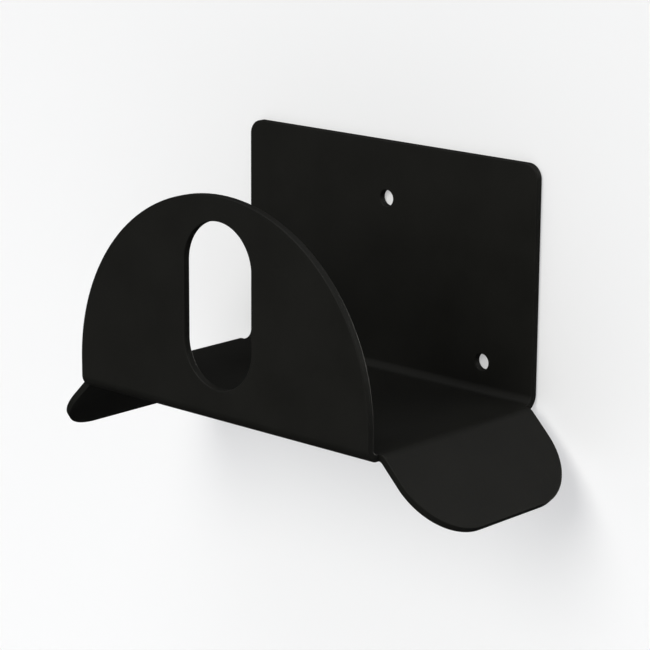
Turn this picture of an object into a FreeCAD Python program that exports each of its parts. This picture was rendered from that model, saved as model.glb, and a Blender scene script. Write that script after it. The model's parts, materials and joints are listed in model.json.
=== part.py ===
import FreeCAD, Part
import math
import os

import Sketcher

# Wall cable holder: one steel sheet, laser cut and folded four times.
#
# Frame: millimetres, +Z up, X to the right, +Y into the wall.
# The wall is the plane Y = 0.  X = 0 is the plane of symmetry.
# Z = 0 is the line through the centres of the two lower screw holes.
#
# The sheet is modelled panel by panel.  A panel that is folded up or down carries its own bend,
# and it meets the shelf face to face on the line where the bend begins.

DRIVING_SIZES = {
    "sheet": 3.0,               # thickness of the steel
    "depth": 98.2,              # wall plane to the front face
    "rear_width": 150.0,
    "rear_rise": 93.0,          # top edge of the rear plate above the shelf's top face
    "rear_corner": 6.0,
    "rear_bend": 6.4,           # outer radius of the bend between shelf and rear plate
    "front_width": 151.4,       # also twice the radius of the round front plate
    "front_rise": 8.8,          # centre of that round above the shelf's top face
    "front_bend": 5.0,          # outer radius of the bend between shelf and front plate
    "wing_bend": 5.0,           # outer radius of the bend between shelf and wing
    "wing_angle": 45.0,         # degrees that a wing falls below the shelf
    "wing_length": 35.7,        # straight part of a wing, down its slope
    "wing_corner": 25.0,
    "wing_front": 5.8,          # wing's front edge behind the front face
    "wing_rear": 6.9,           # wing's rear edge in front of the wall
    "hole_size": 6.5,
    "hole_spacing": 100.0,      # between the two lower holes
    "hole_stagger": 58.0,       # upper hole above the lower two
    "hole_rise": 12.0,          # lower holes above the shelf's top face
    "window_width": 35.0,
    "window_height": 64.5,
    "window_rise": 42.5,        # middle of the window above the shelf's top face
}

doc = FreeCAD.newDocument("WallCableHolder")
sizes = doc.addObject("Spreadsheet::Sheet", "Sizes")
for row, (alias, value) in enumerate(DRIVING_SIZES.items(), start=1):
    sizes.set(f"A{row}", alias)
    sizes.set(f"B{row}", str(value))
    sizes.setAlias(f"B{row}", alias)
doc.recompute()

# Heights and lines that several panels share, as expressions in the sheet's cells.
SHELF_TOP = "-Sizes.hole_rise"
SHELF_UNDERSIDE = "-Sizes.hole_rise - Sizes.sheet"
REAR_FLAT_BOTTOM = f"{SHELF_UNDERSIDE} + Sizes.rear_bend"
FRONT_FLAT_BOTTOM = f"{SHELF_UNDERSIDE} + Sizes.front_bend"
FRONT_FLAT_BACK = "Sizes.depth - Sizes.sheet"


def line_to(x, y):
    """A straight edge of an outline that ends at (x, y), given as expressions."""
    return ("line", x, y, None, None)


def arc_to(x, y, radius, turn):
    """A round edge that ends at (x, y); turn is +1 for a left-hand and -1 for a right-hand bend."""
    return ("arc", x, y, radius, turn)


def number(expression):
    """The present value of an expression in the sheet's cells."""
    return float(sizes.evalExpression(expression))


def arc_through(start, end, radius, turn):
    """The arc, less than or equal to half a circle, from start to end that turns to one side."""
    chord = end - start
    half = chord.Length / 2
    rise = math.sqrt(max(radius ** 2 - half ** 2, 0.0))
    normal = FreeCAD.Vector(-chord.y, chord.x, 0).normalize()
    centre = (start + end) / 2 + normal * rise * turn
    first = math.atan2(start.y - centre.y, start.x - centre.x)
    last = math.atan2(end.y - centre.y, end.x - centre.x)
    if turn < 0:
        first, last = last, first
    circle = Part.Circle(centre, FreeCAD.Vector(0, 0, 1), radius)
    return Part.ArcOfCircle(circle, first, last)


def bind(sketch, constraint, expression):
    """Add a constraint whose size follows an expression."""
    index = sketch.addConstraint(constraint)
    name = f"size_{index}"
    sketch.renameConstraint(index, name)
    sketch.setExpression(f"Constraints.{name}", expression)


def new_sketch(body, name, role, offset="0"):
    """An empty sketch on one of the body's origin planes, moved along the plane's normal."""
    sketch = body.newObject("Sketcher::SketchObject", name)
    plane = next(item for item in body.Origin.OriginFeatures if item.Role == role)
    sketch.AttachmentSupport = (plane, [""])
    sketch.MapMode = "FlatFace"
    sketch.setExpression("AttachmentOffset.Base.z", offset)
    return sketch


def closed_outline(sketch, edges):
    """Draw edges end to end, and bind every corner's place and every arc's radius."""
    corners = [FreeCAD.Vector(number(x), number(y), 0) for _, x, y, _, _ in edges]
    ends = []
    for index, (kind, _, _, radius, turn) in enumerate(edges):
        start, end = corners[index - 1], corners[index]
        if kind == "line":
            geometry = sketch.addGeometry(Part.LineSegment(start, end))
            ends.append((geometry, 1, 2))
        else:
            geometry = sketch.addGeometry(arc_through(start, end, number(radius), turn))
            ends.append((geometry, 1, 2) if turn > 0 else (geometry, 2, 1))
    for index, (kind, x, y, radius, _) in enumerate(edges):
        geometry, _, last = ends[index]
        follower, first, _ = ends[(index + 1) % len(edges)]
        sketch.addConstraint(Sketcher.Constraint("Coincident", geometry, last, follower, first))
        bind(sketch, Sketcher.Constraint("DistanceX", -1, 1, geometry, last, corners[index].x), x)
        bind(sketch, Sketcher.Constraint("DistanceY", -1, 1, geometry, last, corners[index].y), y)
        if kind == "arc":
            bind(sketch, Sketcher.Constraint("Radius", geometry, number(radius)), radius)


def hole_circle(sketch, x, y):
    """One round screw hole."""
    radius = "Sizes.hole_size / 2"
    centre = FreeCAD.Vector(number(x), number(y), 0)
    circle = Part.Circle(centre, FreeCAD.Vector(0, 0, 1), number(radius))
    geometry = sketch.addGeometry(circle)
    bind(sketch, Sketcher.Constraint("DistanceX", -1, 1, geometry, 3, centre.x), x)
    bind(sketch, Sketcher.Constraint("DistanceY", -1, 1, geometry, 3, centre.y), y)
    bind(sketch, Sketcher.Constraint("Radius", geometry, number(radius)), radius)


def pad(body, name, sketch, length, midplane=False):
    """Give a sketch thickness along its normal, or equally to both sides."""
    feature = body.newObject("PartDesign::Pad", name)
    feature.Profile = sketch
    feature.Midplane = midplane
    feature.setExpression("Length", length)
    doc.recompute()
    return feature


def cut_through(body, name, sketch):
    """Cut a sketch through the whole panel, and make sure that metal was removed."""
    before = body.Shape.Volume
    feature = body.newObject("PartDesign::Pocket", name)
    feature.Profile = sketch
    feature.Type = "ThroughAll"
    feature.Midplane = True
    doc.recompute()
    if body.Shape.Volume >= before:
        raise RuntimeError(f"{name} removed nothing")


def new_body(label):
    """An empty body in the assembly's own frame."""
    body = doc.addObject("PartDesign::Body", label)
    body.Label = label
    body.Placement = FreeCAD.Placement()
    return body


def quarter_bend(body, name, radius, width, side):
    """
    The quarter-round bend between the shelf and an upright plate, as wide as the plate.

    radius is the outer radius; side is +1 for the plate on the wall and -1 for the front plate.
    """
    outer_face = "0" if side > 0 else "-Sizes.depth"
    inner_face = "-Sizes.sheet" if side > 0 else f"-({FRONT_FLAT_BACK})"
    centre = f"-{radius}" if side > 0 else f"-Sizes.depth + {radius}"
    flat_bottom = f"{SHELF_UNDERSIDE} + {radius}"
    sketch = new_sketch(body, f"{name}_section", "YZ_Plane")
    closed_outline(sketch, [
        line_to(outer_face, flat_bottom),
        arc_to(centre, SHELF_UNDERSIDE, radius, -side),
        line_to(centre, SHELF_TOP),
        arc_to(inner_face, flat_bottom, f"{radius} - Sizes.sheet", side),
    ])
    pad(body, name, sketch, width, midplane=True)


def build_shelf():
    """The flat middle panel, between the lines where its four bends begin."""
    half_width = "Sizes.front_width / 2"
    rear_half_width = "Sizes.rear_width / 2"
    front_line = "-Sizes.depth + Sizes.front_bend"
    rear_line = "-Sizes.rear_bend"
    wing_line = "-Sizes.wing_rear"
    body = new_body("shelf")
    sketch = new_sketch(body, "shelf_outline", "XY_Plane", SHELF_UNDERSIDE)
    closed_outline(sketch, [
        line_to(f"-{half_width}", front_line),
        line_to(half_width, front_line),
        line_to(half_width, wing_line),
        line_to(rear_half_width, wing_line),
        line_to(rear_half_width, rear_line),
        line_to(f"-{rear_half_width}", rear_line),
        line_to(f"-{rear_half_width}", wing_line),
        line_to(f"-{half_width}", wing_line),
    ])
    pad(body, "shelf_sheet", sketch, "Sizes.sheet")
    return body


def build_rear_plate():
    """The plate on the wall, with two round top corners and three screw holes."""
    half_width = "Sizes.rear_width / 2"
    corner = "Sizes.rear_corner"
    top = f"{SHELF_TOP} + Sizes.rear_rise"
    body = new_body("rear_plate")
    outline = new_sketch(body, "rear_outline", "XZ_Plane")
    closed_outline(outline, [
        line_to(f"-{half_width}", REAR_FLAT_BOTTOM),
        line_to(half_width, REAR_FLAT_BOTTOM),
        line_to(half_width, f"{top} - {corner}"),
        arc_to(f"{half_width} - {corner}", top, corner, 1),
        line_to(f"-{half_width} + {corner}", top),
        arc_to(f"-{half_width}", f"{top} - {corner}", corner, 1),
    ])
    pad(body, "rear_sheet", outline, "Sizes.sheet")
    quarter_bend(body, "rear_fold", "Sizes.rear_bend", "Sizes.rear_width", 1)
    holes = new_sketch(body, "screw_holes", "XZ_Plane")
    hole_circle(holes, "-Sizes.hole_spacing / 2", "0")
    hole_circle(holes, "Sizes.hole_spacing / 2", "0")
    hole_circle(holes, "0", "Sizes.hole_stagger")
    cut_through(body, "screw_hole_cuts", holes)
    return body


def build_front_plate():
    """The round-topped plate that keeps the coil on the shelf, with its obround window."""
    half_width = "Sizes.front_width / 2"
    round_centre = f"{SHELF_TOP} + Sizes.front_rise"
    body = new_body("front_plate")
    outline = new_sketch(body, "front_outline", "XZ_Plane", FRONT_FLAT_BACK)
    closed_outline(outline, [
        line_to(f"-{half_width}", FRONT_FLAT_BOTTOM),
        line_to(half_width, FRONT_FLAT_BOTTOM),
        line_to(half_width, round_centre),
        arc_to("0", f"{round_centre} + {half_width}", half_width, 1),
        arc_to(f"-{half_width}", round_centre, half_width, 1),
    ])
    pad(body, "front_sheet", outline, "Sizes.sheet")
    quarter_bend(body, "front_fold", "Sizes.front_bend", "Sizes.front_width", -1)

    radius = "Sizes.window_width / 2"
    middle = f"{SHELF_TOP} + Sizes.window_rise"
    straight = "(Sizes.window_height - Sizes.window_width) / 2"
    window = new_sketch(body, "window_outline", "XZ_Plane", FRONT_FLAT_BACK)
    closed_outline(window, [
        line_to(f"-{radius}", f"{middle} - {straight}"),
        arc_to("0", f"{middle} - {straight} - {radius}", radius, 1),
        arc_to(radius, f"{middle} - {straight}", radius, 1),
        line_to(radius, f"{middle} + {straight}"),
        arc_to("0", f"{middle} + {straight} + {radius}", radius, 1),
        arc_to(f"-{radius}", f"{middle} + {straight}", radius, 1),
    ])
    cut_through(body, "window_cut", window)
    return body


def build_wing(label, side):
    """A side panel that slopes down from the shelf; side is +1 for +X and -1 for -X."""
    bend, inner = "Sizes.wing_bend", "(Sizes.wing_bend - Sizes.sheet)"
    sine, cosine = "sin(Sizes.wing_angle * 1deg)", "cos(Sizes.wing_angle * 1deg)"
    root = "Sizes.front_width / 2"
    sign = "" if side > 0 else "-"

    def place(radius, along):
        """The point at a distance from the bend's axis, and then some way down the slope."""
        x = f"{sign}({root} + {radius} * {sine} + {along} * {cosine})"
        y = f"{SHELF_TOP} - {bend} + {radius} * {cosine} - {along} * {sine}"
        return x, y

    body = new_body(label)
    section = new_sketch(body, f"{label}_section", "XZ_Plane", "Sizes.wing_rear")
    closed_outline(section, [
        line_to(f"{sign}({root})", SHELF_TOP),
        arc_to(*place(bend, "0"), bend, -side),
        line_to(*place(bend, "Sizes.wing_length")),
        line_to(*place(inner, "Sizes.wing_length")),
        line_to(*place(inner, "0")),
        arc_to(f"{sign}({root})", SHELF_UNDERSIDE, inner, side),
    ])
    width = "Sizes.depth - Sizes.wing_front - Sizes.wing_rear"
    sheet = pad(body, f"{label}_sheet", section, width)

    # The two short edges across the sheet at the wing's tip are rounded.
    tip = max(side * vertex.X for vertex in sheet.Shape.Vertexes)
    thickness = number("Sizes.sheet")
    tip_edges = [
        f"Edge{index}"
        for index, edge in enumerate(sheet.Shape.Edges, start=1)
        if abs(edge.Length - thickness) < 0.01
        and max(side * vertex.X for vertex in edge.Vertexes) > tip - 0.01
    ]
    corners = body.newObject("PartDesign::Fillet", f"{label}_corners")
    corners.Base = (sheet, tip_edges)
    corners.setExpression("Radius", "Sizes.wing_corner")
    doc.recompute()
    if body.Shape.Volume >= sheet.Shape.Volume:
        raise RuntimeError(f"{label}: the corners were not rounded")
    return body


panels = [
    build_rear_plate(),
    build_shelf(),
    build_front_plate(),
    build_wing("right_wing", 1),
    build_wing("left_wing", -1),
]
doc.recompute()

for item in doc.Objects:
    if "Invalid" in item.State or "Error" in item.State:
        raise RuntimeError(f"{item.Label} failed: {item.State}")
for panel in panels:
    if panel.Shape.isNull() or not panel.Shape.isValid() or len(panel.Shape.Solids) != 1:
        raise RuntimeError(f"{panel.Label} is not one valid solid")

os.makedirs("parts", exist_ok=True)
for panel in panels:
    panel.Shape.exportStep(f"parts/{panel.Label}.step")
    box = panel.Shape.BoundBox
    print(f"{panel.Label}: {box.XLength:.2f} x {box.YLength:.2f} x {box.ZLength:.2f} mm,",
          f"{panel.Shape.Volume:.0f} mm3")
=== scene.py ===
import json
import math

import bpy
import mathutils
import numpy as np
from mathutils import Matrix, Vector
from mathutils.geometry import delaunay_2d_cdt


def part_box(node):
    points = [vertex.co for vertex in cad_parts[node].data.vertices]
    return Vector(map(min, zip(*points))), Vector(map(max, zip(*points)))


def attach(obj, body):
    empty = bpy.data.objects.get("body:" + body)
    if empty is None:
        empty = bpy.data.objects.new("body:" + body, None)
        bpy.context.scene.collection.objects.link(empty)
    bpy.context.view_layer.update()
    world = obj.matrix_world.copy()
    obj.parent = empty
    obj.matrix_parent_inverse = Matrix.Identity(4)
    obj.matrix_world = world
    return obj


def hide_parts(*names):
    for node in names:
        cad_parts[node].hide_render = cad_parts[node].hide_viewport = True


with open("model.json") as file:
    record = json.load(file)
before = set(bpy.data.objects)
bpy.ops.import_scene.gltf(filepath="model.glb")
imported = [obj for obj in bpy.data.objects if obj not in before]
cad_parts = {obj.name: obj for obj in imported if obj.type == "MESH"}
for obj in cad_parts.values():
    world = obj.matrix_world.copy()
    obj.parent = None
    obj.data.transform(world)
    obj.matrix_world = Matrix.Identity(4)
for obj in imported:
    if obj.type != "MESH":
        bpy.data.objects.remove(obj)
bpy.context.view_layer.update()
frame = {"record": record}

# The holder is one folded sheet, so the mesh is made as a flat sheet and then folded.
#
# A point of the flat sheet is (x, y, w): x and y lie in the sheet, measured along its middle
# surface, and w is the height above that surface.  The shelf stays where it is, and everything
# beyond a fold line is carried round that line's bend.  Lengths are in metres.

MM = 0.001

# ---------------------------------------------------------------- sizes, from the frame

rear_low, rear_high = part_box("rear_plate")
shelf_low, shelf_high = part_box("shelf")
front_low, front_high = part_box("front_plate")
wing_low, wing_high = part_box("right_wing")

SHEET = shelf_high.z - shelf_low.z
SHELF_MIDDLE = (shelf_high.z + shelf_low.z) / 2
FRONT_LINE = shelf_low.y
REAR_LINE = shelf_high.y
HALF_FRONT = front_high.x
HALF_REAR = rear_high.x
FRONT_RADIUS = FRONT_LINE - front_low.y - SHEET / 2     # of the bend's middle surface
REAR_RADIUS = rear_high.y - REAR_LINE - SHEET / 2
WING_RADIUS = 5.0 * MM - SHEET / 2
WING_ANGLE = math.radians(45)
WING_SLOPE = 35.7 * MM
WING_CORNER = 25 * MM
REAR_CORNER = 6 * MM
WINDOW_HALF_WIDTH = 17.5 * MM
WINDOW_HALF_STRAIGHT = 14.75 * MM
WINDOW_RISE = 42.5 * MM                                 # above the shelf's top face

mounts = {mount["name"]: mount for mount in frame["record"]["mounts"]}
lower_holes, upper_hole = mounts["lower_wall_holes"], mounts["upper_wall_hole"]
HOLE_RADIUS = lower_holes["dims"]["hole_r_mm"] * MM
HOLE_HALF_SPACING = lower_holes["dims"]["spacing_x_mm"] / 2 * MM
HOLE_STAGGER = upper_hole["pos_m"][2] - lower_holes["pos_m"][2]

REAR_ARC = REAR_RADIUS * math.pi / 2
FRONT_ARC = FRONT_RADIUS * math.pi / 2
WING_ARC = WING_RADIUS * WING_ANGLE
REAR_FLAT_Z = shelf_low.z + REAR_RADIUS + SHEET / 2     # where the rear plate becomes flat
FRONT_FLAT_Z = shelf_low.z + FRONT_RADIUS + SHEET / 2

# ---------------------------------------------------------------- fineness of the mesh

EDGE_ROUND = 0.4 * MM                                   # radius of the cut edges
EDGE_STEPS = 4
BEND_STEPS = 14
ARC_STEP = math.radians(2.5)
GRID = 7 * MM                                           # spacing of points inside the panels
SHEET_REACH = 200 * MM                                  # no point of the sheet is further out
EDGE_GAP = GRID * 0.6                                   # between those points and an edge or bend
SHARP = math.cos(math.radians(25))                      # outline corners sharper than this stay sharp
SEAM_X = HALF_REAR - 1 * MM     # the shelf piece ends just before the wings' cut corners


def rear_flat_y(z):
    """Where a height on the rear plate lies in the flat sheet."""
    return REAR_LINE + REAR_ARC + z - REAR_FLAT_Z


def front_flat_y(z):
    """Where a height on the front plate lies in the flat sheet."""
    return FRONT_LINE - FRONT_ARC - z + FRONT_FLAT_Z


# ---------------------------------------------------------------- folding

def turned(across, along, up, angle, sense):
    """The sheet's two directions after a bend; sense is +1 for a fold upwards."""
    new_along = along * math.cos(angle) + up * sense * math.sin(angle)
    new_up = up * math.cos(angle) - along * sense * math.sin(angle)
    return across, new_along, new_up


def fold(x, y):
    """The place of a point of the middle surface, and the sheet's three directions there."""
    up = Vector((0, 0, 1))
    base = Vector((x, y, SHELF_MIDDLE))
    if y > REAR_LINE:
        run, along = y - REAR_LINE, Vector((0, 1, 0))
        radius, limit, sense = REAR_RADIUS, math.pi / 2, 1
        base.y = REAR_LINE
    elif y < FRONT_LINE:
        run, along = FRONT_LINE - y, Vector((0, -1, 0))
        radius, limit, sense = FRONT_RADIUS, math.pi / 2, 1
        base.y = FRONT_LINE
    elif abs(x) > HALF_FRONT:
        side = math.copysign(1, x)
        run, along = abs(x) - HALF_FRONT, Vector((side, 0, 0))
        radius, limit, sense = WING_RADIUS, WING_ANGLE, -1
        base.x = side * HALF_FRONT
    else:
        return base, (Vector((1, 0, 0)), Vector((0, 1, 0)), up)
    across = Vector((0, 1, 0)) if along.x else Vector((1, 0, 0))
    angle = min(run / radius, limit)
    straight = max(run - radius * limit, 0)
    base += along * radius * math.sin(angle) + up * sense * radius * (1 - math.cos(angle))
    across, new_along, new_up = turned(across, along, up, angle, sense)
    base += new_along * straight
    if along.x:
        return base, (new_along * along.x, across, new_up)
    return base, (across, new_along * along.y, new_up)


# ---------------------------------------------------------------- the flat outline

def arc(cx, cy, radius, first, last):
    """Points of an arc from one angle to the other, in degrees, ends included."""
    first, last = math.radians(first), math.radians(last)
    steps = max(2, round(abs(last - first) / ARC_STEP))
    angles = [first + (last - first) * i / steps for i in range(steps + 1)]
    return [(cx + radius * math.cos(a), cy + radius * math.sin(a)) for a in angles]


def sheet_outline():
    """The cut edge of the flat sheet, anticlockwise from the lowest point of the front plate."""
    disc_y = front_flat_y(front_high.z - HALF_FRONT)
    rear_top = rear_flat_y(rear_high.z)
    tip = HALF_FRONT + WING_ARC + WING_SLOPE
    wing_front, wing_rear = wing_low.y, wing_high.y
    right = arc(0, disc_y, HALF_FRONT, -90, 0)
    right += [(HALF_FRONT, wing_front)]
    right += arc(tip - WING_CORNER, wing_front + WING_CORNER, WING_CORNER, -90, 0)
    right += arc(tip - WING_CORNER, wing_rear - WING_CORNER, WING_CORNER, 0, 90)
    right += [(HALF_REAR, wing_rear)]
    right += arc(HALF_REAR - REAR_CORNER, rear_top - REAR_CORNER, REAR_CORNER, 0, 90)
    left = [(-x, y) for x, y in reversed(right)]
    return right + left[:-1]


def hole_outline(x, z):
    """A screw hole in the rear plate, clockwise."""
    return arc(x, rear_flat_y(z), HOLE_RADIUS, 360, 0)[:-1]


def window_outline():
    """The obround window in the front plate, clockwise."""
    middle = front_flat_y(shelf_high.z + WINDOW_RISE)
    top = arc(0, middle + WINDOW_HALF_STRAIGHT, WINDOW_HALF_WIDTH, 180, 0)
    bottom = arc(0, middle - WINDOW_HALF_STRAIGHT, WINDOW_HALF_WIDTH, 0, -180)
    return top + bottom


def bend_lines():
    """The lines across the sheet where it turns a little: (axis, value), axis 0 for x and 1 for y."""
    lines = []
    for step in range(BEND_STEPS + 1):
        part = step / BEND_STEPS
        lines.append((1, REAR_LINE + REAR_ARC * part))
        lines.append((1, FRONT_LINE - FRONT_ARC * part))
        lines.append((0, HALF_FRONT + WING_ARC * part))
        lines.append((0, -HALF_FRONT - WING_ARC * part))
    return lines


def crosses(line, point):
    """Whether a bend line exists at this point: a wing's lines stay in the wing."""
    axis, _ = line
    return axis == 1 or wing_low.y - MM < point[1] < wing_high.y + MM


def with_crossings(loop, lines):
    """The loop with a point added wherever a bend line crosses it."""
    result = []
    for index, end in enumerate(loop):
        start = loop[index - 1]
        cuts = []
        for line in lines:
            axis, value = line
            span = end[axis] - start[axis]
            if abs(span) < 1e-9:
                continue
            part = (value - start[axis]) / span
            if 1e-4 < part < 1 - 1e-4 and crosses(line, start):
                cuts.append(part)
        for part in sorted(cuts):
            result.append(tuple(a + part * (b - a) for a, b in zip(start, end)))
        result.append(end)
    return result


def edge_frames(loop):
    """For each point of a loop: the miter towards the outside, and the normals of its two edges."""
    frames = []
    for index, here in enumerate(loop):
        before = Vector(here) - Vector(loop[index - 1])
        after = Vector(loop[(index + 1) % len(loop)]) - Vector(here)
        normal_before = Vector((before.y, -before.x)).normalized()
        normal_after = Vector((after.y, -after.x)).normalized()
        bisector = (normal_before + normal_after).normalized()
        miter = bisector / bisector.dot(normal_before)
        if normal_before.dot(normal_after) > SHARP:
            normal_before = normal_after = bisector
        frames.append((miter, normal_before, normal_after))
    return frames


# ---------------------------------------------------------------- the solid sheet

class Sheet:
    """The folded sheet's points, and its faces sorted by panel."""

    def __init__(self):
        self.flat = []          # (x, y, w)
        self.faces = {}         # panel: list of (point numbers, flat normals)

    def point(self, x, y, w):
        self.flat.append((x, y, w))
        return len(self.flat) - 1

    def face(self, panel, points, normals):
        self.faces.setdefault(panel, []).append((points, normals))


def panel_at(x, y):
    """The panel that a place in the flat sheet belongs to."""
    if y > REAR_LINE:
        return "rear_plate"
    if y < FRONT_LINE:
        return "front_plate"
    if x > SEAM_X:
        return "right_wing"
    if x < -SEAM_X:
        return "left_wing"
    return "shelf"


def rounded_profile():
    """The cut edge from top face to bottom face: (inset, height, tilt of the normal from outwards)."""
    half = SHEET / 2
    profile = []
    for side in (1, -1):
        quarter = []
        for step in range(EDGE_STEPS + 1):
            tilt = math.pi / 2 * (1 - step / EDGE_STEPS)
            inset = EDGE_ROUND * (1 - math.cos(tilt))
            height = half - EDGE_ROUND * (1 - math.sin(tilt))
            quarter.append((inset, side * height, side * tilt))
        profile += quarter if side > 0 else quarter[::-1]
    return profile


def add_cut_edge(sheet, loop):
    """The rounded wall along one loop.  Returns a ring of point numbers, top to bottom, for each place."""
    profile = rounded_profile()
    frames = edge_frames(loop)
    rings = []
    for (x, y), (miter, _, _) in zip(loop, frames):
        ring = []
        for inset, height, _ in profile:
            ring.append(sheet.point(x - miter.x * inset, y - miter.y * inset, height))
        rings.append(ring)
    for index in range(len(loop)):
        after = (index + 1) % len(loop)
        middle = ((loop[index][0] + loop[after][0]) / 2, (loop[index][1] + loop[after][1]) / 2)
        panel = panel_at(*middle)
        out_start, out_end = frames[index][2], frames[after][1]
        for step in range(len(profile) - 1):
            tilts = (profile[step][2], profile[step][2], profile[step + 1][2], profile[step + 1][2])
            outs = (out_start, out_end, out_end, out_start)
            normals = [
                (out.x * math.cos(tilt), out.y * math.cos(tilt), math.sin(tilt))
                for out, tilt in zip(outs, tilts)
            ]
            upper = (rings[index][step], rings[after][step])
            lower = (rings[after][step + 1], rings[index][step + 1])
            sheet.face(panel, (upper + lower)[::-1], normals[::-1])
    return rings


def is_inside(points, loops):
    """For many places at once: whether each is in the sheet, and how far it is from a cut edge."""
    points = np.asarray(points, float)
    crossings = np.zeros(len(points), int)
    nearest = np.full(len(points), np.inf)
    for loop in loops:
        for index, end in enumerate(loop):
            start, end = np.array(loop[index - 1]), np.array(end)
            span = end - start
            part = np.clip((points - start) @ span / (span @ span), 0, 1)
            nearest = np.minimum(nearest, np.linalg.norm(points - start - part[:, None] * span, axis=1))
            if start[1] != end[1]:
                above = (start[1] > points[:, 1]) != (end[1] > points[:, 1])
                reach = start[0] + (points[:, 1] - start[1]) / span[1] * span[0]
                crossings += above & (points[:, 0] < reach)
    return crossings % 2 == 1, nearest


def inner_points(loops):
    """An even grid of points inside the flat panels, away from the cut edges and the bends."""
    row_height = GRID * math.sqrt(3) / 2
    reach = int(SHEET_REACH / row_height)
    points = []
    for row in range(-reach, reach):
        for column in range(-reach, reach):
            points.append(((column + 0.5 * (row % 2)) * GRID, row * row_height))
    inside, distance = is_inside(points, loops)
    kept = []
    for (x, y), good, far in zip(points, inside, distance):
        in_rear_bend = REAR_LINE - EDGE_GAP < y < REAR_LINE + REAR_ARC + EDGE_GAP
        in_front_bend = FRONT_LINE - FRONT_ARC - EDGE_GAP < y < FRONT_LINE + EDGE_GAP
        in_wing_bend = SEAM_X - EDGE_GAP < abs(x) < HALF_FRONT + WING_ARC + EDGE_GAP
        on_wing_side = FRONT_LINE < y < REAR_LINE and in_wing_bend
        if good and far > EDGE_GAP and not (in_rear_bend or in_front_bend or on_wing_side):
            kept.append((x, y))
    return kept


def fill_flat_faces(sheet, loops, rings):
    """Triangles over the top and bottom faces, with edges along every seam and bend line."""
    points, constraints, known = [], [], []
    for loop_rings in rings:
        first = len(points)
        for ring in loop_rings:
            points.append(Vector(sheet.flat[ring[0]][:2]))
            known.append((ring[0], ring[-1]))
        count = len(loop_rings)
        constraints += [(first + i, first + (i + 1) % count) for i in range(count)]

    def constrain(start, end):
        points.extend((Vector(start), Vector(end)))
        constraints.append((len(points) - 2, len(points) - 1))

    for axis, value in bend_lines():
        if axis == 1:
            half = (HALF_REAR if value >= REAR_LINE else HALF_FRONT) - EDGE_ROUND
            constrain((-half, value), (half, value))
        elif abs(value) > HALF_FRONT + 1e-6:
            constrain((value, wing_low.y + EDGE_ROUND), (value, wing_high.y - EDGE_ROUND))
        else:
            constrain((value, wing_low.y + 2 * EDGE_ROUND), (value, wing_high.y - 2 * EDGE_ROUND))
    for side in (-1, 1):
        constrain((side * SEAM_X, FRONT_LINE), (side * SEAM_X, REAR_LINE))
    points += [Vector(p) for p in inner_points(loops)]

    places, _, triangles, sources, _, _ = delaunay_2d_cdt(points, constraints, [], 0, 1e-8)
    numbers = []
    for place, source in zip(places, sources):
        ring = next((known[i] for i in source if i < len(known)), None)
        if ring is None:
            ring = (sheet.point(place.x, place.y, SHEET / 2), sheet.point(place.x, place.y, -SHEET / 2))
        numbers.append(ring)
    inset_loops = [[sheet.flat[ring[0]][:2] for ring in loop_rings] for loop_rings in rings]
    centres = [tuple(sum((places[i] for i in triangle), Vector((0, 0))) / 3) for triangle in triangles]
    inside, _ = is_inside(centres, inset_loops)
    for triangle, centre, good in zip(triangles, centres, inside):
        if not good:
            continue
        a, b, c = (places[i] for i in triangle)
        if (b - a).cross(c - a) < 0:
            triangle = triangle[::-1]
        panel = panel_at(*centre)
        sheet.face(panel, [numbers[i][0] for i in triangle], [(0, 0, 1)] * 3)
        sheet.face(panel, [numbers[i][1] for i in reversed(triangle)], [(0, 0, -1)] * 3)


def close_seam(sheet, axis, value, low, high, before, after):
    """The sheet's section along a seam, as an end face of the panels on its two sides."""
    along = 1 - axis
    half = SHEET / 2
    top, bottom, low_end, high_end = [], [], [], []
    for number, place in enumerate(sheet.flat):
        if abs(place[axis] - value) > 1e-7 or not low - 1e-7 < place[along] < high + 1e-7:
            continue
        if abs(place[2] - half) < 1e-9:
            top.append(number)
        elif abs(place[2] + half) < 1e-9:
            bottom.append(number)
        elif place[along] < (low + high) / 2:
            low_end.append(number)
        else:
            high_end.append(number)
    top.sort(key=lambda n: sheet.flat[n][along])
    bottom.sort(key=lambda n: -sheet.flat[n][along])
    high_end.sort(key=lambda n: -sheet.flat[n][2])
    low_end.sort(key=lambda n: sheet.flat[n][2])
    section = top + high_end + bottom + low_end
    outwards = [0, 0, 0]
    outwards[axis] = 1
    if axis == 0:
        section = section[::-1]
    sheet.face(before, section, [tuple(outwards)] * len(section))
    outwards[axis] = -1
    sheet.face(after, section[::-1], [tuple(outwards)] * len(section))


def make_sheet():
    """The whole folded sheet, sorted into panels."""
    sheet = Sheet()
    lines = bend_lines() + [(0, SEAM_X), (0, -SEAM_X)]
    loops = [with_crossings(sheet_outline(), bend_lines()), window_outline()]
    for x, z in ((-HOLE_HALF_SPACING, 0), (HOLE_HALF_SPACING, 0), (0, HOLE_STAGGER)):
        loops.append(hole_outline(x, z))
    rings = [add_cut_edge(sheet, loop) for loop in loops]
    fill_flat_faces(sheet, loops, rings)
    for line, half, upper in ((FRONT_LINE, HALF_FRONT, False), (REAR_LINE, HALF_REAR, True)):
        plate = "rear_plate" if upper else "front_plate"
        spans = ((-half, -SEAM_X, "left_wing"), (-SEAM_X, SEAM_X, "shelf"), (SEAM_X, half, "right_wing"))
        for low, high, panel in spans:
            before, after = (panel, plate) if upper else (plate, panel)
            close_seam(sheet, 1, line, low, high, before, after)
    close_seam(sheet, 0, SEAM_X, FRONT_LINE, REAR_LINE, "shelf", "right_wing")
    close_seam(sheet, 0, -SEAM_X, FRONT_LINE, REAR_LINE, "left_wing", "shelf")
    return sheet


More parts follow.
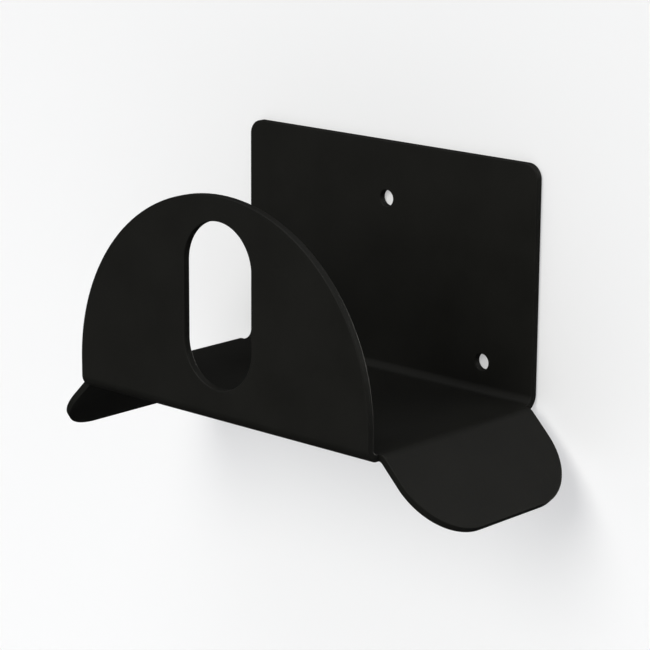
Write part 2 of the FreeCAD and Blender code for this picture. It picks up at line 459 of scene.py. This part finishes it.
def make_panel(sheet, panel, material):
    """One panel as an object, folded into place, with exact normals."""
    numbers, verts, frames, faces, normals = {}, [], [], [], []
    for points, flat_normals in sheet.faces[panel]:
        face = []
        for number, flat_normal in zip(points, flat_normals):
            if number not in numbers:
                x, y, w = sheet.flat[number]
                place, frame_axes = fold(x, y)
                numbers[number] = len(verts)
                verts.append(place + frame_axes[2] * w)
                frames.append(frame_axes)
            local = numbers[number]
            face.append(local)
            axes = mathutils.Matrix(frames[local]).transposed()
            normals.append((axes @ Vector(flat_normal)).normalized())
        faces.append(face)
    mesh = bpy.data.meshes.new(f"{panel}_sheet")
    mesh.from_pydata(verts, [], faces)
    mesh.polygons.foreach_set("use_smooth", [True] * len(faces))
    mesh.materials.append(material)
    mesh.update()
    mesh.normals_split_custom_set(normals)
    piece = bpy.data.objects.new(f"{panel}_sheet", mesh)
    bpy.context.scene.collection.objects.link(piece)
    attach(piece, "root")
    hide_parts(panel)
    return piece


# ---------------------------------------------------------------- materials

def node(tree, kind, **settings):
    """A shader node with its inputs set by name."""
    made = tree.nodes.new(kind)
    for name, value in settings.items():
        if name in made.inputs:
            made.inputs[name].default_value = value
        else:
            setattr(made, name, value)
    return made


COAT_DARK = (0.0056, 0.0056, 0.0048, 1)
COAT_PALE = (0.0076, 0.0076, 0.0066, 1)
COAT_SPECULAR = 0.12
COAT_ROUGHNESS = (0.46, 0.60)
CLOUD_SCALE = 38.0              # noise scales are in cells per metre
PEEL_SCALE = 900.0
GRAIN_SCALE = 3600.0
PEEL_DEPTH = 0.06 * MM
GRAIN_DEPTH = 0.03 * MM


def powder_coat():
    """Fine-textured matte black powder coat."""
    material = bpy.data.materials.new("powder_coat_black")
    material.use_nodes = True
    tree = material.node_tree
    link = tree.links.new
    shader = tree.nodes["Principled BSDF"]
    shader.inputs["Specular IOR Level"].default_value = COAT_SPECULAR
    place = node(tree, "ShaderNodeTexCoord")

    # Slow change of colour and gloss over the sheet, as sprayed powder has.
    cloud = node(tree, "ShaderNodeTexNoise", Scale=CLOUD_SCALE, Detail=4.0, Roughness=0.55)
    link(place.outputs["Object"], cloud.inputs["Vector"])
    tint = node(tree, "ShaderNodeValToRGB")
    for element, position, colour in zip(tint.color_ramp.elements, (0.30, 0.72), (COAT_DARK, COAT_PALE)):
        element.position = position
        element.color = colour
    link(cloud.outputs["Fac"], tint.inputs["Fac"])
    link(tint.outputs["Color"], shader.inputs["Base Color"])
    gloss = node(tree, "ShaderNodeMapRange")
    gloss.inputs["To Min"].default_value, gloss.inputs["To Max"].default_value = COAT_ROUGHNESS
    link(cloud.outputs["Fac"], gloss.inputs["Value"])
    link(gloss.outputs["Result"], shader.inputs["Roughness"])

    # Orange peel about a millimetre across, and the powder's own grain.
    peel = node(tree, "ShaderNodeTexNoise", Scale=PEEL_SCALE, Detail=2.0, Roughness=0.5)
    grain = node(tree, "ShaderNodeTexNoise", Scale=GRAIN_SCALE, Detail=3.0, Roughness=0.65)
    for texture in (peel, grain):
        link(place.outputs["Object"], texture.inputs["Vector"])
    coarse = node(tree, "ShaderNodeBump", Strength=0.35, Distance=PEEL_DEPTH)
    fine = node(tree, "ShaderNodeBump", Strength=0.45, Distance=GRAIN_DEPTH)
    link(peel.outputs["Fac"], coarse.inputs["Height"])
    link(grain.outputs["Fac"], fine.inputs["Height"])
    link(coarse.outputs["Normal"], fine.inputs["Normal"])
    link(fine.outputs["Normal"], shader.inputs["Normal"])
    return material


PAINT = (0.50, 0.505, 0.522, 1)
PAINT_GLOW = 0.36               # keeps shadows on the wall pale
SURROUNDINGS = (0.93, 0.93, 0.93, 1)


def pale_paint():
    """The plain pale wall and floor, clear when seen from behind."""
    material = bpy.data.materials.new("pale_backdrop")
    material.use_nodes = True
    tree = material.node_tree
    shader = tree.nodes["Principled BSDF"]
    shader.inputs["Base Color"].default_value = PAINT
    shader.inputs["Emission Color"].default_value = (1, 1, 1, 1)
    shader.inputs["Emission Strength"].default_value = PAINT_GLOW
    shader.inputs["Roughness"].default_value = 1.0
    shader.inputs["Specular IOR Level"].default_value = 0.0
    clear = node(tree, "ShaderNodeBsdfTransparent")
    side = node(tree, "ShaderNodeNewGeometry")
    mix = node(tree, "ShaderNodeMixShader")
    tree.links.new(side.outputs["Backfacing"], mix.inputs["Fac"])
    tree.links.new(shader.outputs["BSDF"], mix.inputs[1])
    tree.links.new(clear.outputs["BSDF"], mix.inputs[2])
    tree.links.new(mix.outputs["Shader"], tree.nodes["Material Output"].inputs["Surface"])
    return material


# ---------------------------------------------------------------- the object

sheet = make_sheet()
black = powder_coat()
for name in ("rear_plate", "shelf", "front_plate", "right_wing", "left_wing"):
    make_panel(sheet, name, black)


# ---------------------------------------------------------------- stage, light and camera

WALL_GAP = 0.4 * MM             # behind the rear plate
WALL_HALF_WIDTH = 2.5
WALL_TOP = 2.2
COVE_RADIUS = 0.25
COVE_STEPS = 12
FLOOR_DROP = 0.55               # below the lowest point of the rear plate
FLOOR_DEPTH = 2.6
DOME_RADIUS = 8.0
DOME_RINGS = 16
DOME_SECTORS = 32


def add_stage(name, verts, faces, material):
    """A mesh that is part of the set and not of the object."""
    mesh = bpy.data.meshes.new(name)
    mesh.from_pydata(verts, [], faces)
    mesh.materials.append(material)
    piece = bpy.data.objects.new(name, mesh)
    bpy.context.scene.collection.objects.link(piece)
    piece.visible_shadow = False
    piece.visible_glossy = False
    return piece


def backdrop():
    """A wall just behind the rear plate, running down through a cove into the floor."""
    floor_z = rear_low.z - FLOOR_DROP
    profile = [(WALL_GAP, WALL_TOP), (WALL_GAP, floor_z + COVE_RADIUS)]
    for step in range(1, COVE_STEPS + 1):
        angle = math.pi / 2 * step / COVE_STEPS
        y = WALL_GAP - COVE_RADIUS * (1 - math.cos(angle))
        z = floor_z + COVE_RADIUS * (1 - math.sin(angle))
        profile.append((y, z))
    profile.append((-FLOOR_DEPTH, floor_z))
    verts = [(x, y, z) for y, z in profile for x in (-WALL_HALF_WIDTH, WALL_HALF_WIDTH)]
    faces = [(2 * i, 2 * i + 2, 2 * i + 3, 2 * i + 1) for i in range(len(profile) - 1)]
    wall = add_stage("backdrop", verts, faces, pale_paint())
    wall.data.polygons.foreach_set("use_smooth", [True] * len(faces))


def pale_surroundings():
    """A pale dome far round the set.  Only the camera sees it, so it neither lights nor shades."""
    material = bpy.data.materials.new("pale_surroundings")
    material.use_nodes = True
    tree = material.node_tree
    glow = node(tree, "ShaderNodeEmission", Color=SURROUNDINGS, Strength=1.0)
    tree.links.new(glow.outputs["Emission"], tree.nodes["Material Output"].inputs["Surface"])
    verts, faces = [], []
    for ring in range(1, DOME_RINGS):
        tilt = math.pi * ring / DOME_RINGS
        across = DOME_RADIUS * math.sin(tilt)
        for sector in range(DOME_SECTORS):
            turn = 2 * math.pi * sector / DOME_SECTORS
            verts.append((across * math.cos(turn), across * math.sin(turn), DOME_RADIUS * math.cos(tilt)))
    for ring in range(DOME_RINGS - 2):
        for sector in range(DOME_SECTORS):
            here = ring * DOME_SECTORS + sector
            beside = ring * DOME_SECTORS + (sector + 1) % DOME_SECTORS
            faces.append((here, beside, beside + DOME_SECTORS, here + DOME_SECTORS))
    faces.append(tuple(range(DOME_SECTORS))[::-1])
    faces.append(tuple(range(len(verts) - DOME_SECTORS, len(verts))))
    dome = add_stage("pale_surroundings", verts, faces, material)
    dome.visible_diffuse = False
    dome.visible_transmission = False
    dome.visible_volume_scatter = False


# Brightness of the room against height, from straight down at 0 through the horizon at 0.5 to
# straight up at 1, as a part of WORLD_STRENGTH.
FRONT_ROOM = (
    (0.0, 0.0), (0.35, 0.03), (0.48, 0.07), (0.53, 0.44),
    (0.63, 0.43), (0.67, 0.13), (0.90, 0.15), (0.93, 0.98))
BEHIND_WALL = (
    (0.0, 0.0), (0.35, 0.02), (0.48, 0.04), (0.52, 0.01),
    (0.64, 0.04), (0.70, 0.15), (0.90, 0.22), (0.93, 0.98))
WORLD_STRENGTH = 2.0
BACK_LEFT = (0.01, 0.01, 0.01, 1)       # the room behind the wall, on the left
SUN_COLOUR = (1.0, 0.985, 0.915)
SUNS = (    # name, azimuth, elevation, spread in degrees, strength, whether it casts shadows
    ("key", 3, 28, 34, 1.75, True),
    ("rim", 140, 18, 30, 0.45, True),
    ("back", 180, 0, 2, 1.4, False),
)


def brightness_ramp(tree, height, stops):
    """A ramp of grey against height."""
    ramp = node(tree, "ShaderNodeValToRGB")
    while len(ramp.color_ramp.elements) < len(stops):
        ramp.color_ramp.elements.new(0.5)
    for element, (position, level) in zip(ramp.color_ramp.elements, stops):
        element.position = position
        element.color = (level, level, level, 1)
    tree.links.new(height.outputs["Result"], ramp.inputs["Fac"])
    return ramp


def between(tree, source, low, high):
    """How far a value has come from low to high, as 0 to 1."""
    scale = node(tree, "ShaderNodeMapRange")
    scale.inputs["From Min"].default_value = low
    scale.inputs["From Max"].default_value = high
    tree.links.new(source, scale.inputs["Value"])
    return scale


def studio_world():
    """A pale band of room in front and a soft box overhead, with little light from behind the wall."""
    world = bpy.data.worlds.new("studio")
    bpy.context.scene.world = world
    world.use_nodes = True
    tree = world.node_tree
    direction = node(tree, "ShaderNodeTexCoord")
    parts = node(tree, "ShaderNodeSeparateXYZ")
    tree.links.new(direction.outputs["Generated"], parts.inputs["Vector"])
    height = between(tree, parts.outputs["Z"], -1, 1)
    behind = between(tree, parts.outputs["Y"], -0.05, 0.05)
    rightward = between(tree, parts.outputs["X"], -0.45, 0.15)
    front_ramp = brightness_ramp(tree, height, FRONT_ROOM)
    back_ramp = brightness_ramp(tree, height, BEHIND_WALL)
    back = node(tree, "ShaderNodeMix", data_type="RGBA")
    back.inputs["A"].default_value = BACK_LEFT
    room = node(tree, "ShaderNodeMix", data_type="RGBA")
    tree.links.new(rightward.outputs["Result"], back.inputs["Factor"])
    tree.links.new(back_ramp.outputs["Color"], back.inputs["B"])
    tree.links.new(behind.outputs["Result"], room.inputs["Factor"])
    tree.links.new(front_ramp.outputs["Color"], room.inputs["A"])
    tree.links.new(back.outputs["Result"], room.inputs["B"])
    tree.links.new(room.outputs["Result"], tree.nodes["Background"].inputs["Color"])
    tree.nodes["Background"].inputs["Strength"].default_value = WORLD_STRENGTH


def towards(azimuth, elevation):
    """Unit vector to a place given by its angles in radians: azimuth 0 is in front, at -Y."""
    across = math.cos(elevation)
    return Vector((math.sin(azimuth) * across, -math.cos(azimuth) * across, math.sin(elevation)))


def soft_sun(name, azimuth, elevation, spread, strength, shadows):
    """Broad parallel light that comes from a direction given like a camera view's."""
    lamp = bpy.data.lights.new(name, "SUN")
    lamp.energy = strength
    lamp.color = SUN_COLOUR
    lamp.use_shadow = shadows
    lamp.angle = math.radians(spread)
    holder = bpy.data.objects.new(name, lamp)
    source = towards(math.radians(azimuth), math.radians(elevation))
    holder.rotation_euler = source.to_track_quat("Z", "Y").to_euler()
    bpy.context.scene.collection.objects.link(holder)


# Where the camera stands, and how far its aim lies beside and above the shelf's middle.
AZIMUTH, ELEVATION, ROLL = (math.radians(a) for a in (42.451, 14.165, 0.352))
DISTANCE = 1.0353
SIDE_SHIFT, UP_SHIFT = -0.02596, 0.01707
LENS = 142.03                   # millimetres, as is the sensor
SENSOR_WIDTH = 36


def add_camera():
    """The photographed view: from the front right, a little above."""
    back = towards(AZIMUTH, ELEVATION)
    level = Vector((math.cos(AZIMUTH), math.sin(AZIMUTH), 0))
    upright = back.cross(level)
    right = level * math.cos(ROLL) + upright * math.sin(ROLL)
    up = upright * math.cos(ROLL) - level * math.sin(ROLL)
    camera = bpy.data.objects.new("camera", bpy.data.cameras.new("camera"))
    camera.data.lens = LENS
    camera.data.sensor_width = SENSOR_WIDTH
    aim = Vector((0, 0, shelf_high.z))
    turn = mathutils.Matrix((right, up, back)).transposed()
    camera.matrix_world = turn.to_4x4()
    camera.location = aim + right * SIDE_SHIFT + up * UP_SHIFT + back * DISTANCE
    bpy.context.scene.collection.objects.link(camera)
    bpy.context.scene.camera = camera


backdrop()
pale_surroundings()
studio_world()
for sun in SUNS:
    soft_sun(*sun)
add_camera()
bpy.context.scene.view_settings.view_transform = "Standard"
